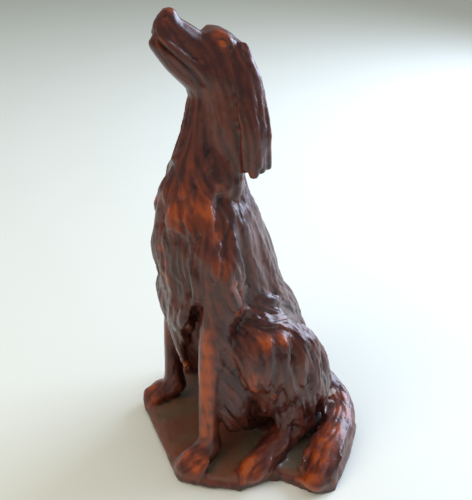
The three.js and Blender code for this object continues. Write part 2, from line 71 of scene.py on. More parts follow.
# Locks that stand out on the dog's left side, each from root to tip, with half its width and how
# far its tip lifts. The right side has them mirrored.
RUFF = [
    ([(6, -38, 192), (6, -41, 184), (6, -43, 174)], 3.6, 1.6),
    ([(11, -34, 196), (14, -34, 188), (15, -37, 179)], 3.8, 1.4),
    ([(15, -27, 197), (19, -25, 191), (23, -24, 182)], 3.4, 1.4),
    ([(17, -20, 201), (21, -18, 193), (22, -16, 184)], 3.0, 2.2),
    ([(16, -32, 188), (21, -30, 181), (25, -30, 173)], 3.8, 1.4),
    ([(14, -10, 200), (20, -6, 192), (23, -4, 180)], 3.6, 0.6),
    ([(9, 0, 200), (15, 3, 190), (18, 5, 176)], 3.6, 0.6),
    ([(3, 3, 198), (6, 6, 188), (7, 8, 172)], 3.6, 0.6),
]
BIB = [
    ([(10, -40, 180), (15, -41, 170), (21, -39, 161)], 4.6, 1.8),
    ([(18, -35, 180), (23, -34, 170), (28, -33, 160)], 4.6, 1.4),
    ([(7, -42, 176), (10, -43, 168), (15, -42, 163)], 3.6, 1.8),
    ([(23, -26, 181), (27, -26, 171), (32, -29, 160)], 4.4, 1.2),
    ([(2, -42, 176), (1, -45, 164), (3, -46, 152)], 4.2, 1.6),
    ([(26, -18, 178), (30, -18, 168), (34, -22, 158)], 3.8, 1.0),
]
CHEST = [
    ([(4, -44, 168), (3, -47, 152), (6, -48, 136), (-1, -46, 117)], 3.6, 2.2),
    ([(16, -43, 158), (13, -44, 138), (13, -43, 115)], 4.2, 1.2),
    ([(21, -38, 160), (21, -39, 143), (22, -38, 122)], 4.2, 1.2),
    ([(29, -34, 160), (32, -35, 144), (33, -34, 125)], 4.0, 1.2),
    ([(3, -44, 124), (8, -44, 110), (7, -43, 92)], 4.0, 1.6),
    ([(15, -41, 122), (19, -41, 106), (13, -39, 84)], 4.0, 1.6),
    ([(27, -35, 132), (27, -37, 118), (24, -38, 104)], 3.4, 1.4),
]
SHOULDER = [
    ([(28, -23, 170), (34, -20, 156), (40, -17, 144), (42, -15, 133)], 4.0, 2.4),
    ([(31, -27, 166), (35, -30, 154), (35, -32, 143), (37, -29, 133)], 3.2, 1.6),
    ([(34, -20, 153), (38, -15, 141), (39, -10, 127)], 3.6, 2.0),
    ([(40, -23, 137), (43, -18, 126), (42, -13, 115)], 3.4, 2.0),
    ([(36, -25, 158), (40, -26, 147), (40, -27, 136)], 2.8, 1.4),
    ([(32, -32, 150), (36, -33, 138), (38, -32, 124)], 3.0, 1.0),
    ([(31, -16, 160), (35, -10, 146), (36, -4, 132)], 3.4, 1.2),
]
CURLS = [
    ([(36, -8, 136), (34, -2, 120), (34, 9, 109), (29, 24, 100)], 3.4, 1.2),
    ([(41, -12, 124), (37, -4, 108), (41, 5, 103), (38, 20, 99)], 3.2, 1.4),
    ([(31, 0, 124), (31, 9, 113), (23, 26, 103), (14, 40, 88)], 3.4, 1.2),
    ([(38, -12, 112), (38, -6, 103), (43, 0, 99)], 2.8, 1.6),
    ([(29, -2, 150), (31, 4, 134), (28, 14, 118)], 3.4, 0.8),
]
BACK = [
    ([(13, 4, 178), (14, 12, 156), (14, 20, 134)], 3.8, 0.6),
    ([(21, 4, 158), (20, 15, 135), (22, 22, 114)], 3.8, 0.7),
    ([(25, -6, 174), (28, -2, 156), (29, 2, 137)], 3.6, 0.5),
    ([(22, 10, 138), (22, 19, 116), (22, 30, 96)], 3.8, 0.9),
    ([(6, 14, 160), (5, 22, 136), (7, 30, 112)], 3.8, 0.7),
    ([(10, 24, 128), (12, 34, 104), (12, 46, 82)], 4.0, 1.1),
    ([(2, 28, 122), (1, 38, 98), (2, 50, 74)], 4.2, 1.1),
    ([(20, 36, 92), (19, 45, 74), (21, 52, 56)], 4.0, 1.3),
    ([(8, 46, 80), (8, 54, 60), (9, 59, 42)], 4.0, 1.3),
]
FORELEG = [
    ([(38, -27, 108), (38, -20, 92), (39, -15, 76)], 3.4, 1.4),
    ([(39, -27, 88), (39, -19, 72), (40, -12, 56)], 3.4, 1.2),
    ([(39, -25, 68), (40, -18, 50), (39, -9, 34)], 3.4, 1.2),
    ([(40, -14, 98), (43, -10, 82), (42, -7, 64)], 3.2, 1.6),
    ([(40, -14, 72), (42, -8, 54), (41, -3, 40)], 3.2, 1.4),
    ([(39, -27, 52), (38, -20, 36), (36, -12, 24)], 3.2, 0.8),
]
HAUNCH = [
    ([(44, -5, 100), (49, -8, 84), (50, -8, 68), (50, -4, 58)], 3.6, 2.0),
    ([(46, 1, 99), (52, 1, 84), (52, 0, 70), (51, 3, 60)], 3.4, 2.2),
    ([(50, 5, 92), (53, 7, 74), (52, 8, 62), (52, 6, 50)], 3.6, 2.4),
    ([(50, 12, 92), (54, 13, 72), (52, 17, 56), (50, 18, 44)], 3.6, 2.4),
    ([(48, 22, 90), (54, 23, 73), (54, 26, 58)], 4.0, 1.4),
    ([(47, 31, 84), (51, 34, 64), (51, 37, 46)], 4.0, 1.6),
    ([(52, 8, 64), (51, 13, 48), (51, 16, 36), (51, 14, 29)], 3.6, 2.2),
    ([(54, 17, 62), (52, 24, 42), (49, 27, 26)], 3.6, 2.4),
    ([(54, 26, 62), (51, 32, 43), (47, 37, 26)], 3.6, 1.8),
    ([(42, 24, 98), (46, 31, 86), (49, 36, 72)], 4.0, 1.0),
    ([(44, 10, 101), (50, 13, 92), (54, 16, 80)], 3.6, 1.4),
    ([(48, 38, 62), (47, 43, 44), (42, 46, 28)], 3.6, 1.6),
    ([(36, 42, 84), (39, 48, 62), (38, 51, 40)], 4.0, 1.4),
    ([(52, 20, 50), (50, 22, 36), (48, 24, 24)], 2.8, 2.6),
]
HIND_FOOT = [
    ([(53, 18, 29), (55, 8, 24), (58, -2, 20), (61, -9, 15)], 2.6, 1.0),
    ([(57, 12, 23), (61, 2, 19), (65, -6, 14)], 2.4, 1.0),
    ([(51, 6, 28), (52, -3, 22), (54, -10, 17)], 2.4, 0.6),
]
CHEEK = [
    ([(13, -10, 247), (16, -9, 234), (18, -10, 217), (19, -11, 199)], 2.8, 0.8),
    ([(14, -5, 248), (19, -3, 236), (19, -6, 223), (17, -7, 206)], 2.8, 0.8),
    ([(12, -16, 243), (15, -15, 230), (16, -14, 214), (17, -13, 205)], 2.4, 0.4),
    ([(11, -18, 240), (12, -20, 230), (12, -20, 222)], 1.8, 0.3),
]

# The ear's strands end one beside the other, blunt and unequal.
EAR = [
    ([(13, -5, 258), (20, -4, 241), (24.5, -2.5, 216), (24, -1.5, 194)], 2.7),
    ([(13, -2, 261), (21, 1, 241), (26.5, 2, 216), (25.5, 2.6, 190)], 3.0),
    ([(12, 1, 261), (20, 5, 241), (25.5, 6.5, 216), (25, 7.2, 192)], 2.9),
    ([(11, 3, 259), (18, 8, 240), (23.5, 10.5, 216), (23.5, 11.6, 193)], 2.8),
    ([(14, 2, 258), (21, 4, 238), (27, 4, 216), (27.5, 4.8, 196)], 2.2),
    ([(15, -3, 256), (21, -2, 238), (26.5, -0.5, 220), (27, 0.2, 199)], 2.0),
]
# Hair behind the cheek that fills the space between the neck and the ear.
NECK_BAND = [
    ([(12, -6, 250), (16, -6, 236), (18, -6, 214), (18, -6, 190)], 3.6),
    ([(12, -1, 250), (17, -1, 236), (20, -1, 214), (20, -1, 192)], 3.6),
    ([(11, 4, 250), (15, 5, 236), (18, 6, 214), (18, 7, 192)], 3.6),
]
# Hair from the temple that covers the root of the ear.
TEMPLE = [
    ([(9, -8, 266), (14, -6, 256), (18, -6, 245), (20, -5, 234)], 3.0, 0.4),
    ([(9, -3, 267), (14, -2, 258), (19, -2, 247), (22, -2, 236)], 3.0, 0.4),
    ([(13, -11, 256), (16, -9, 249), (18, -8, 240), (19, -8, 230)], 2.8, 0.3),
    ([(11, -14, 252), (14, -13, 246), (16, -12, 238), (17, -11, 228)], 2.6, 0.3),
    ([(7, 2, 266), (12, 4, 258), (17, 5, 248), (20, 6, 238)], 2.8, 0.4),
]
THROAT = [
    ([(3, -28, 238), (4, -27, 222), (5, -33, 200)], 1.3, 0.2),
    ([(8, -25, 238), (8, -25, 222), (8, -31, 198)], 1.2, 0.2),
    ([(0, -29, 236), (0, -29, 220), (1, -35, 202)], 1.2, 0.2),
]
BEARD = [
    ([(7, -42, 112), (5, -43, 92), (3, -38, 72), (1, -33, 54)], 3.2, 1.2),
    ([(15, -41, 118), (14, -39, 96), (10, -35, 76)], 3.2, 1.0),
    ([(-9, -42, 116), (-9, -42, 96), (-8, -37, 74)], 3.2, 1.0),
    ([(-17, -39, 118), (-18, -38, 102), (-15, -35, 84)], 3.2, 0.8),
    ([(1, -36, 74), (1, -34, 64), (0, -31, 53)], 1.8, 0.4),
]
TAIL = [
    ([(20, 62, 27), (40, 56, 26), (58, 39, 22), (70, 27, 17), (80, 14, 7)], 3.4, 1.0),
    ([(24, 65, 28), (44, 60, 27), (62, 44, 22), (76, 30, 17), (85, 20, 7)], 3.6, 1.0),
    ([(20, 69, 25), (42, 65, 24), (62, 51, 20), (78, 35, 15), (86, 27, 6)], 3.4, 1.0),
    ([(10, 62, 26), (30, 60, 28), (48, 49, 24), (60, 34, 18), (72, 18, 8)], 3.0, 1.0),
    ([(-4, 58, 30), (10, 66, 27), (30, 68, 24)], 3.4, 0.6),
]

# The way the hair lies where no lock says so: points on the left side with a direction.
LIES = [
    ((9, -32, 262), (0, 0.6, -0.7), 7), ((9, -22, 252), (0, 0.6, -0.6), 7),
    ((10, -14, 246), (0.2, 0.3, -1), 7), ((8, -10, 264), (0.3, 0.9, -0.2), 6),
    ((5, 0, 266), (0.5, 0.9, -0.4), 7), ((13, -2, 256), (0.4, 0.4, -1), 6),
    ((36, -38, 20), (0, -0.9, -0.4), 6), ((40, -44, 14), (0, -1, -0.3), 6),
    ((58, -6, 16), (0.3, -1, -0.3), 7),
]

# Where handling has rubbed the stain through: a point on the left side, the spot's size and how bare
# it is.
RUBBED = [
    (11, -10, 267, 6, 0.7), (12, -9, 262, 4, 0.9), (5, -38, 273, 3, 0.5), (3, -34, 279, 3, 0.6),
    (6, -41, 264, 4, 0.55), (9, -36, 266, 4, 0.35), (18, -38, 172, 12, 0.8), (26, -27, 174, 12, 0.85),
    (23, -14, 180, 6, 0.7), (21, -16, 186, 4, 1), (14, -36, 182, 9, 0.7), (20, -28, 186, 8, 0.5),
    (12, -28, 196, 8, 0.4), (31, -20, 164, 8, 0.6), (10, -45, 140, 4, 0.9), (9, -46, 130, 4, 0.9),
    (8, -47, 148, 4, 0.8), (11, -43, 172, 4, 0.9), (32, -22, 162, 5, 1), (40, -23, 146, 7, 0.7),
    (42, -15, 134, 4, 1), (38, -12, 128, 4, 0.9), (42, -14, 116, 3, 0.8), (36, -28, 136, 6, 0.7),
    (36, -31, 122, 6, 0.5), (37, -32, 102, 6, 0.9), (38, -33, 92, 7, 1), (38, -33, 82, 6, 1),
    (38, -33, 72, 7, 1), (38, -34, 62, 7, 1), (38, -34, 52, 7, 1), (39, -34, 42, 7, 1),
    (39, -35, 32, 7, 1), (39, -36, 24, 6, 0.8), (44, -40, 18, 6, 0.9), (36, -46, 16, 5, 0.9),
    (46, -44, 13, 5, 1), (36, -50, 11, 4, 0.8), (60, -15, 15, 9, 1), (64, -10, 12, 6, 0.9),
    (48, 1, 96, 7, 0.9), (48, 12, 96, 7, 0.9), (51, -6, 72, 7, 0.8), (50, -6, 62, 5, 0.9),
    (53, 7, 56, 3.5, 0.8), (53, 18, 66, 5, 0.5), (11, -1, 219, 6, 0.7), (14, -2, 208, 6, 0.8),
    (15, -4, 198, 6, 0.7), (26, -2, 192, 4, 0.7), (13, -16, 238, 6, 0.5), (17, -10, 222, 6, 0.4),
    (24, -10, 178, 4, 0.6), (34, 64, 26, 8, 0.9), (46, 58, 25, 9, 0.9), (58, 46, 22, 8, 0.8),
    (72, 27, 18, 8, 1), (80, 18, 10, 8, 1), (66, 36, 20, 7, 0.9), (1, -32, 57, 4, 0.9),
    (26, -46, 11, 6, 0.8), (28, -40, 14, 4, 0.8),
]
RUBBED_RIM = 0.4

CAMERA_AZIMUTH = math.radians(67)
CAMERA_PITCH = math.radians(28)
CAMERA_PLACE = (0.37938, -0.15833, 0.35202)
CAMERA_LENS = 54.72
CAMERA_SENSOR = 36


# Numbers in space.


def unit(rows):
    """Rows of vectors, each made one long."""
    return rows / np.maximum(np.linalg.norm(rows, axis=-1, keepdims=True), 1e-9)


def ease(low, high, t):
    """0 below low, 1 above high, and smooth in between."""
    t = np.clip((t - low) / (high - low), 0, 1)
    return t * t * (3 - 2 * t)


def in_head(left, forward, up):
    """A place in the head, from the middle of the skull."""
    return SKULL + np.array([left, 0, 0]) + forward * FORWARD + up * CROWN


def head_places(points):
    """How far left, forward and up each point is in the head."""
    away = points - SKULL
    return away[:, 0], away @ FORWARD, away @ CROWN


def bend(route, count, closing=False):
    """Points on a smooth curve through a route, at even steps or at steps that get shorter."""
    route = np.array(route, float)
    ends = np.vstack([2 * route[0] - route[1], route, 2 * route[-1] - route[-2]])
    t = np.linspace(0, 1, count)
    t = (len(route) - 1) * (np.sin(t * math.pi / 2) if closing else t)
    i = np.minimum(t.astype(int), len(route) - 2)
    f = (t - i)[:, None]
    a, b, c, d = ends[i], ends[i + 1], ends[i + 2], ends[i + 3]
    return 0.5 * (2 * b + (c - a) * f + (2 * a - 5 * b + 4 * c - d) * f**2 + (3 * b - a - 3 * c + d) * f**3)


NOISE_PERIOD = 32


def drift(points, size, seed):
    """Smooth random numbers from -1 to 1 that change over this size."""
    table = np.random.default_rng(seed).uniform(-1, 1, (NOISE_PERIOD,) * 3).astype(np.float32)
    q = points / size
    low = np.floor(q).astype(int)
    f = (q - low).astype(np.float32)
    f = f * f * (3 - 2 * f)
    low &= NOISE_PERIOD - 1
    high = (low + 1) & (NOISE_PERIOD - 1)
    total = 0
    for corner in range(8):
        pick = [(high if corner >> k & 1 else low)[:, k] for k in range(3)]
        share = [f[:, k] if corner >> k & 1 else 1 - f[:, k] for k in range(3)]
        total = total + table[pick[0], pick[1], pick[2]] * share[0] * share[1] * share[2]
    return total


def near_route(points, route):
    """Each point's distance from a route of straight steps, and how far along it that is, 0 to 1."""
    route = np.array(route, float)
    best = np.full(len(points), 1e9)
    where = np.zeros(len(points))
    for i in range(len(route) - 1):
        step = route[i + 1] - route[i]
        t = np.clip((points - route[i]) @ step / (step @ step), 0, 1)
        gap = np.linalg.norm(points - route[i] - t[:, None] * step, axis=1)
        closer = gap < best
        best[closer] = gap[closer]
        where[closer] = (i + t[closer]) / (len(route) - 1)
    return best, where


# Meshes.


class Skin:
    """The points and edges of a mesh, in millimetres, and the sums over neighbours that carving needs."""

    def __init__(self, mesh):
        self.mesh = mesh
        self.count = len(mesh.vertices)
        flat = np.empty(self.count * 3, np.float32)
        mesh.vertices.foreach_get("co", flat)
        self.points = flat.reshape(-1, 3).astype(float) / MM
        ends = np.empty(len(mesh.edges) * 2, np.int32)
        mesh.edges.foreach_get("vertices", ends)
        self.a, self.b = ends.reshape(-1, 2).T
        self.valence = np.bincount(ends, minlength=self.count).clip(1)
        self.read_normals()

    def read_normals(self):
        flat = np.empty(self.count * 3, np.float32)
        self.mesh.vertices.foreach_get("normal", flat)
        self.normals = flat.reshape(-1, 3).astype(float)

    def write(self):
        """Puts the points back into the mesh."""
        self.mesh.vertices.foreach_set("co", (self.points * MM).astype(np.float32).ravel())
        self.mesh.update()
        self.read_normals()

    def around(self, values):
        """The mean of each point's neighbours."""
        columns = values.reshape(self.count, -1)
        sums = [
            np.bincount(self.a, c[self.b], self.count) + np.bincount(self.b, c[self.a], self.count)
            for c in columns.T
        ]
        return (np.stack(sums, 1) / self.valence[:, None]).reshape(values.shape)

    def smooth(self, rounds, share=0.5, swell=0.52, where=1.0):
        """Takes out small bumps without shrinking the form."""
        where = np.broadcast_to(where, self.count)[:, None]
        for _ in range(rounds):
            for amount in (share, -swell):
                self.points += amount * where * (self.around(self.points) - self.points)

    def push(self, heights):
        """Moves the points out along their normals."""
        self.points += self.normals * heights[:, None]

    def hollow(self, rounds):
        """How far each point lies below the mean of its surroundings."""
        mean = self.points
        for _ in range(rounds):
            mean = self.around(mean)
        return np.sum((mean - self.points) * self.normals, axis=1)


def put_in_scene(name, mesh):
    piece = bpy.data.objects.new(name, mesh)
    bpy.context.scene.collection.objects.link(piece)
    return piece


def with_modifier(mesh, kind, **settings):
    """The mesh as one modifier leaves it."""
    piece = put_in_scene("work", mesh)
    modifier = piece.modifiers.new(kind, kind)
    for name, value in settings.items():
        setattr(modifier, name, value)
    graph = bpy.context.evaluated_depsgraph_get()
    made = bpy.data.meshes.new_from_object(piece.evaluated_get(graph))
    bpy.data.objects.remove(piece)
    return made


def together(*meshes):
    """One mesh of several."""
    shape = bmesh.new()
    for mesh in meshes:
        shape.from_mesh(mesh)
    joined = bpy.data.meshes.new("joined")
    shape.to_mesh(joined)
    shape.free()
    return joined


def in_ear(point):
    """Whether a place is on the hanging part of an ear, which stands away from the neck."""
    return abs(point.x) > 18 and 187 < point.z < 236 or abs(point.x) > 20.6 and 179 < point.z <= 187


class Surface:
    """The smoothed body that locks are laid on."""

    def __init__(self, mesh, with_ears=False):
        shape = bmesh.new()
        shape.from_mesh(mesh)
        if not with_ears:
            ears = [f for f in shape.faces if in_ear(f.calc_center_median() / MM)]
            bmesh.ops.delete(shape, geom=ears, context="FACES")
        self.tree = BVHTree.FromBMesh(shape)
        shape.free()

    def nearest(self, point):
        """The nearest place on the body and its normal."""
        at, normal, _, _ = self.tree.find_nearest(Vector(point) * MM)
        return np.array(at) / MM, np.array(normal)

    def lay(self, route):
        """A route's points put down on the body, with the normals there."""
        pairs = [self.nearest(p) for p in route]
        return np.array([p for p, _ in pairs]), np.array([n for _, n in pairs])


# The way the hair lies.


def mirrored(route):
    return [(-x, y, z) for x, y, z in route]


def shifted(route, luck, amount):
    """A route moved about a little, all of it by one step and each point by its own."""
    route = np.array(route, float)
    return route + luck.normal(0, amount, 3) + luck.normal(0, amount / 2, route.shape)


def coat_way(points):
    """The way the coat falls where nothing else turns it: down and a little back."""
    x, y, z = points.T
    way = np.stack([0.12 * np.tanh(x / 12), 0.22 + 0 * y, -1 + 0 * z], 1)
    _, forward, _ = head_places(points)
    head = ease(234, 252, z + 0.35 * forward)[:, None]
    return way * (1 - head) + head * (-FORWARD + np.array([0, 0.1, -0.15]))


class Grain:
    """The way the hair lies everywhere, read from the laid locks near each point."""

    def __init__(self):
        self.places, self.ways, self.sizes = [], [], []

    def follow(self, route, size):
        steps = np.diff(route, axis=0)
        self.places += list((route[1:] + route[:-1]) / 2)
        self.ways += list(unit(steps))
        self.sizes += [size] * len(steps)

    def at(self, points, normals, chunk=20000):
        places, ways = np.array(self.places, np.float32), np.array(self.ways, np.float32)
        spread = 2 * np.array(self.sizes, np.float32) ** 2
        made = coat_way(points)
        for start in range(0, len(points), chunk):
            some = points[start:start + chunk].astype(np.float32)
            gaps = (some**2).sum(1)[:, None] + (places**2).sum(1)[None] - 2 * some @ places.T
            weights = np.exp(-np.maximum(gaps, 0) / spread)
            made[start:start + chunk] = 0.15 * made[start:start + chunk] + weights @ ways
        turn = 0.35 * drift(points, 22, 5)[:, None]
        made = unit(made - np.sum(made * normals, 1)[:, None] * normals)
        return made * np.cos(turn) + np.cross(normals, made) * np.sin(turn)


class WayGrid:
    """The same ways kept in small cells, so that many points can follow them at once."""

    CELL = 1.6

    def __init__(self, points, ways):
        self.low = points.min(0) - 4 * self.CELL
        self.shape = np.ceil((points.max(0) + 4 * self.CELL - self.low) / self.CELL).astype(int)
        cells = np.ravel_multi_index(((points - self.low) / self.CELL).astype(int).T, self.shape)
        total = int(np.prod(self.shape))
        sums = [np.bincount(cells, w, total).reshape(self.shape) for w in ways.T]
        field = np.stack(sums, -1).astype(np.float32)
        for _ in range(3):
            grown = sum(np.roll(field, s, k) for k in range(3) for s in (1, -1))
            field = field + 0.2 * grown
        self.field = unit(field)

    def read(self, points):
        cell = ((points - self.low) / self.CELL).astype(int)
        cell = np.clip(cell, 0, self.shape - 1)
        return self.field[cell[:, 0], cell[:, 1], cell[:, 2]]


def strands(points, grid, reach, steps, size, seed):
    """Random streaks drawn out along the hair, this wide and about twice the reach long."""
    total = drift(points, size, seed)
    for sign in (1, -1):
        at = points.copy()
        for _ in range(steps):
            at += sign * reach / steps * grid.read(at)
            total = total + drift(at, size, seed)
    return total / total.std()


def rounded(streaks, sharpness):
    """Round ridges with narrow grooves between them, about 0 on average."""
    ridge = np.abs(streaks) / (np.abs(streaks) + sharpness)
    return ridge - ridge.mean()


# Carving.


def coat_depth(points):
    """How deep the coat is carved: none on the slab and the nose, little on the face and forelegs."""
    x, y, z = points.T
    _, forward, _ = head_places(points)
    wide = np.abs(x)
    depth = ease(9.5, 17, z)
    depth = depth * (1 - 0.95 * ease(-2, 9, forward) * ease(234, 242, z))
    depth = depth * (1 - 0.45 * ease(226, 246, z))
    leg = ease(-20, -27, y) * ease(26, 32, wide) * ease(112, 98, z)
    depth = depth * (1 - 0.8 * leg)
    throat = ease(194, 204, z) * ease(246, 238, z) * ease(20, 17, wide)
    depth = depth * (1 - 0.6 * throat)
    ruff = ease(158, 166, z) * ease(204, 196, z) * ease(-6, -14, y)
    depth = depth * (1 - 0.45 * ruff)
    shoulder = (
        ease(15, 21, wide) * ease(-18, -10, y) * ease(14, 6, y) * ease(128, 140, z) * ease(196, 186, z)
    )
    depth = depth * (1 - 0.5 * shoulder)
    upper_back = ease(-2, 8, y) * ease(110, 130, z)
    return depth * (1 - 0.25 * upper_back)


LOCK_RINGS = 12
LOCK_SIDES = 8


class Locks:
    """Locks of hair kept as their middle lines, and made into one mesh at the end."""

    def __init__(self, surface):
        self.surface = surface
        self.rows = []

    def keep(self, line, sides, outs, half, profile, flatness):
        t = np.linspace(0, 1, LOCK_RINGS + 1)
        widths = np.interp(t, np.linspace(0, 1, len(profile)), profile) * half
        self.rows.append((line, sides * widths[:, None], outs * widths[:, None] * flatness))

    def lay(self, route, half, lift, profile=POINTED, flatness=0.55):
        """One lock along a route that is laid on the body. Its root is sunk and its tip lifts."""
        line, outs = self.surface.lay(bend(route, LOCK_RINGS + 1))
        sides = unit(np.cross(unit(np.gradient(line, axis=0)), outs))
        heights = -0.35 * half + (0.35 * half + lift) * ease(0, 1, np.linspace(0, 1, LOCK_RINGS + 1))
        line = line + outs * heights[:, None]
        self.keep(line, sides, outs, half, profile, flatness)
        return line

    def tuft(self, grain, route, half, lift, luck):
        """A lock with its strands, which part a little towards the tip."""
        line, outs = self.surface.lay(bend(route, 9))
        sides = unit(np.cross(unit(np.gradient(line, axis=0)), outs))
        grain.follow(line, 1.6 * half)
        along = np.linspace(0, 1, 9)[:, None]
        self.lay(line, half * 0.9, lift * 0.4, flatness=0.4)
        for across, short in (
            (-0.5, luck.uniform(0.75, 0.9)), (0.08, 1.0), (0.52, luck.uniform(0.8, 0.95)),
        ):
            spread = sides * half * across * (0.8 + 0.4 * along)
            count = max(4, int(round(9 * short)))
            self.lay((line + spread)[:count], half * 0.5, lift * 0.6, flatness=0.6)

    def hang(self, grain, route, half):
        """A strand of an ear, which hangs free of the neck."""
        line = bend(route, LOCK_RINGS + 1, closing=True)
        grain.follow(line, 3)
        ways = unit(np.gradient(line, axis=0))
        sides = unit(np.cross(ways, [math.copysign(1, line[0][0]), -0.15, 0]))
        self.keep(line, sides, np.cross(sides, ways), half, BLUNT, 0.8)

    def fall(self, grain, seeds, normals, luck):
        """Locks that start at these points of the body and follow the way the hair lies."""
        lines = [seeds]
        at, outs = seeds, normals
        for _ in range(8):
            at, outs = self.surface.lay(at + 3.6 * grain.at(at, outs))
            lines.append(at)
        for line in np.stack(lines, 1):
            depth = float(coat_depth(line[3][None])[0])
            half, count, lift = luck.uniform(2.6, 4.0), luck.integers(6, 10), luck.uniform(-0.1, 0.5)
            if depth > 0.45:
                self.lay(line[:count], half, lift * depth, flatness=0.34 * depth)

    def mesh(self):
        """One ball for each lock, each drawn out along its line."""
        shape = bmesh.new()
        bmesh.ops.create_uvsphere(shape, u_segments=LOCK_SIDES, v_segments=LOCK_RINGS, radius=1)
        ball = bpy.data.meshes.new("ball")
        shape.to_mesh(ball)
        shape.free()
        flat = np.empty(len(ball.vertices) * 3, np.float32)
        ball.vertices.foreach_get("co", flat)
        x, y, z = np.clip(flat.reshape(-1, 3).T, -1, 1)
        at = np.arccos(z) / math.pi * LOCK_RINGS
        low = np.minimum(at.astype(int), LOCK_RINGS - 1)
        part = (at - low)[:, None]
        ring = np.hypot(x, y)
        round_it = (ring > 0.01) / np.maximum(ring, 0.01)
        made = with_modifier(ball, "ARRAY", count=len(self.rows))
        places = []
        for line, sides, outs in self.rows:
            place, side, out = (r[low] * (1 - part) + r[low + 1] * part for r in (line, sides, outs))
            places.append(place + side * (x * round_it)[:, None] + out * (y * round_it)[:, None])
        made.vertices.foreach_set("co", (np.concatenate(places) * MM).astype(np.float32).ravel())
        made.update()
        return made


def spread_seeds(skin, gap, luck):
    """Points of the body at least this far apart."""
    cell = gap
    taken, kept = {}, []
    for i in luck.permutation(skin.count):
        p = skin.points[i]
        key = tuple((p // cell).astype(int))
        close = (
            other
            for dx in (-1, 0, 1) for dy in (-1, 0, 1) for dz in (-1, 0, 1)
            for other in taken.get((key[0] + dx, key[1] + dy, key[2] + dz), ())
        )
        if p[2] < 16 or in_ear(Vector(p)) or any(
            np.sum((skin.points[j] - p) ** 2) < gap * gap for j in close
        ):
            continue
        taken.setdefault(key, []).append(i)
        kept.append(i)
    return np.array(kept)


def lay_coat(skin, surface, grain):
    """All the locks of the coat, as one mesh."""
    luck = np.random.default_rng(11)
    locks = Locks(surface)
    for route, half, lift in (
        RUFF + BIB + CHEST + SHOULDER + CURLS + BACK + FORELEG + HAUNCH + HIND_FOOT + CHEEK
    ):
        locks.tuft(grain, route, half, lift, luck)
        locks.tuft(grain, shifted(mirrored(route), luck, 0.8), half, lift, luck)
    for route, half, lift in BEARD + TAIL:
        locks.tuft(grain, route, half, lift, luck)
    for route, half, lift in THROAT:
        for way in (route, mirrored(route)):
            grain.follow(locks.lay(way, half, lift, RIDGE, 0.9), 4)
    for route, half in EAR + NECK_BAND:
        for way in (route, mirrored(route)):
            locks.hang(grain, way, half)
    for route, half, lift in TEMPLE:
        for way in (route, mirrored(route)):
            locks.tuft(grain, way, half, lift, luck)
    for place, way, size in LIES:
        for turn in (1, -1):
            grain.places.append(np.array(place) * (turn, 1, 1))
            grain.ways.append(unit(np.array(way, float)) * (turn, 1, 1))
            grain.sizes.append(size)
    seeds = spread_seeds(skin, 9.5, luck)
    locks.fall(grain, skin.points[seeds], skin.normals[seeds], luck)
    return locks.mesh()


def carve_coat(skin, grain, settings):
    """Strands of two widths, drawn along the way the hair lies."""
    depth = coat_depth(skin.points)
    ways = grain.at(skin.points, skin.normals)
    grid = WayGrid(skin.points, ways)
    broad = strands(skin.points, grid, 15, 8, 5.2, 21)
    fine = strands(skin.points, grid, 9, 8, 2.3, 22)
    uneven = 0.75 + 0.5 * drift(skin.points, 18, 23)
    skin.push(depth * settings.lock_depth / MM * uneven * rounded(broad, 0.5))
    skin.push(depth * settings.strand_depth / MM * (1.6 - uneven) * rounded(fine, 0.6))


def press(skin, route, width, depth, raised=False):
    """A groove, or a ridge, along a route on the surface."""
    low, high = np.min(route, 0) - 4 * width, np.max(route, 0) + 4 * width
    near = np.flatnonzero(np.all((skin.points > low) & (skin.points < high), axis=1))
    gap, along = near_route(skin.points[near], route)
    taper = ease(0, 0.12, along) * ease(1, 0.88, along)
    heights = np.zeros(skin.count)
    heights[near] = (depth if raised else -depth) * np.exp(-((gap / width) ** 2)) * (0.35 + 0.65 * taper)
    skin.push(heights)


def carve_face(skin, surface):
    """The mouth, the fold above the lip, the nostrils, the eyes and the brows."""
    for side in (1, -1):
        def on(*places):
            return surface.lay([in_head(left * side, forward, up) for left, forward, up in places])[0]
        press(skin, bend(on((12, 2, -17.4), (10, 20, -18.4), (7, 32, -18.8), (3, 41, -18.6)), 14), 0.8, 1.7)
        press(skin, bend(on((10.5, 6, -20.5), (9.5, 16, -21.4), (8, 24, -21.8)), 8), 0.9, 0.5)
        press(skin, bend(on((11.5, 14, -9), (10.5, 20, -10.5), (9, 27, -12.5), (7, 34, -14)), 10), 1.2, 0.8)
        press(skin, bend(on((9, 14, -14.6), (8, 26, -15.8), (6, 35, -15.6)), 8), 1.6, 0.5, raised=True)
        press(skin, bend(on((9, 5, 9), (12, 9, 8), (12.5, 13, 5.5)), 8), 1.6, 0.4, raised=True)
        press(skin, bend(on((10, 16, 3), (8.5, 24, 0.5), (6.5, 33, -1.5)), 8), 1.8, 0.35)
        carve_eye(skin, on((12.2, 10.4, 4.4))[0], side)
        carve_nostril(skin, on((3.6, 41, -6.2))[0])


EYE_LENGTH = 2.9
EYE_HEIGHT = 2.1


def carve_eye(skin, centre, side):
    """An eyeball between its lids."""
    away = skin.points - centre
    near = np.linalg.norm(away, axis=1) < 9
    ahead = away @ FORWARD
    above = away @ CROWN + 0.12 * ahead
    ring = np.hypot(ahead / EYE_LENGTH, above / EYE_HEIGHT)
    ball = 0.6 * np.clip(1 - ring**2, 0, 1)
    rim = -0.42 * np.exp(-(((ring - 1.05) / 0.25) ** 2))
    lid = 0.45 * np.exp(-(((ring - 1.6) / 0.35) ** 2)) * (0.4 + 0.6 * ease(-1.5, 1.5, above))
    skin.push(np.where(near & (skin.points[:, 0] * side > 0), ball + rim + lid, 0))


